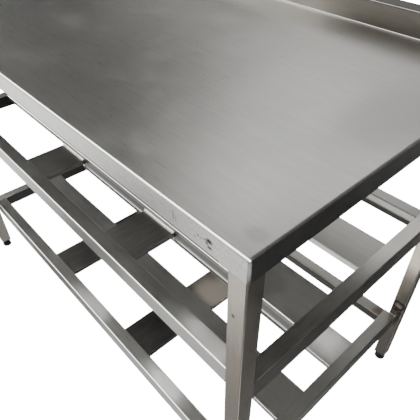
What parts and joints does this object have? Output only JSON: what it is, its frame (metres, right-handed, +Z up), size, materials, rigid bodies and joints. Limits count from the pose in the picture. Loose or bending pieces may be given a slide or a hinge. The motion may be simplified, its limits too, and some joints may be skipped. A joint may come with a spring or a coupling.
{
  "type": "stainless work table",
  "caption": "Stainless work table with folded edges, a rear upstand, square tube legs on levelling feet and open lattice shelves.",
  "frame": {"origin": "middle of the table footprint on the floor, under the centre of the worktop outline", "axes": "+X to the right along the front edge, +Y from the front edge towards the upstand, +Z up"},
  "size_m": [1.2, 0.7, 0.9],
  "materials": {
    "worktop_sheet": "brushed along the length, satin",
    "underframe": "brushed",
    "leg_tube": "brushed along the tube, light weld tint",
    "foot_insert": "black moulded plastic",
    "foot_pad": "black moulded plastic",
    "stud_steel": "bright zinc plated",
    "shelf_rail": "brushed along the rail",
    "shelf_plank": "satin, darker",
    "shelf_slat": "satin, darker"
  },
  "bodies": {
    "frame": {"worktop": "worktop_sheet", "top_rail_front": "underframe", "top_rail_rear": "underframe", "top_rail_left": "underframe", "top_rail_right": "underframe", "top_stiffener_left": "underframe", "top_stiffener_mid": "underframe", "top_stiffener_right": "underframe", "leg_front_left": "leg_tube", "leg_front_right": "leg_tube", "leg_rear_left": "leg_tube", "leg_rear_right": "leg_tube", "insert_front_left": "foot_insert", "insert_front_right": "foot_insert", "insert_rear_left": "foot_insert", "insert_rear_right": "foot_insert", "upper_rail_front": "shelf_rail", "upper_rail_rear": "shelf_rail", "upper_rail_left": "shelf_rail", "upper_rail_right": "shelf_rail", "upper_plank_front": "shelf_plank", "upper_plank_rear": "shelf_plank", "upper_slat_left": "shelf_slat", "upper_slat_right": "shelf_slat", "lower_rail_front": "shelf_rail", "lower_rail_rear": "shelf_rail", "lower_rail_left": "shelf_rail", "lower_rail_right": "shelf_rail", "lower_plank_front": "shelf_plank", "lower_plank_rear": "shelf_plank", "lower_slat_left": "shelf_slat", "lower_slat_right": "shelf_slat"},
    "foot_front_left": {"pad_front_left": "foot_pad", "stud_front_left": "stud_steel"},
    "foot_front_right": {"pad_front_right": "foot_pad", "stud_front_right": "stud_steel"},
    "foot_rear_left": {"pad_rear_left": "foot_pad", "stud_rear_left": "stud_steel"},
    "foot_rear_right": {"pad_rear_right": "foot_pad", "stud_rear_right": "stud_steel"}
  },
  "joints": [
    {"name": "foot_screw_front_left", "type": "slide", "parent": "frame", "child": "foot_front_left", "axis": [0, 0, -1], "range_m": [-0.0018, 0.02]},
    {"name": "foot_screw_front_right", "type": "slide", "parent": "frame", "child": "foot_front_right", "axis": [0, 0, -1], "range_m": [-0.0018, 0.02]},
    {"name": "foot_screw_rear_left", "type": "slide", "parent": "frame", "child": "foot_rear_left", "axis": [0, 0, -1], "range_m": [-0.0018, 0.02]},
    {"name": "foot_screw_rear_right", "type": "slide", "parent": "frame", "child": "foot_rear_right", "axis": [0, 0, -1], "range_m": [-0.0018, 0.02]}
  ]
}
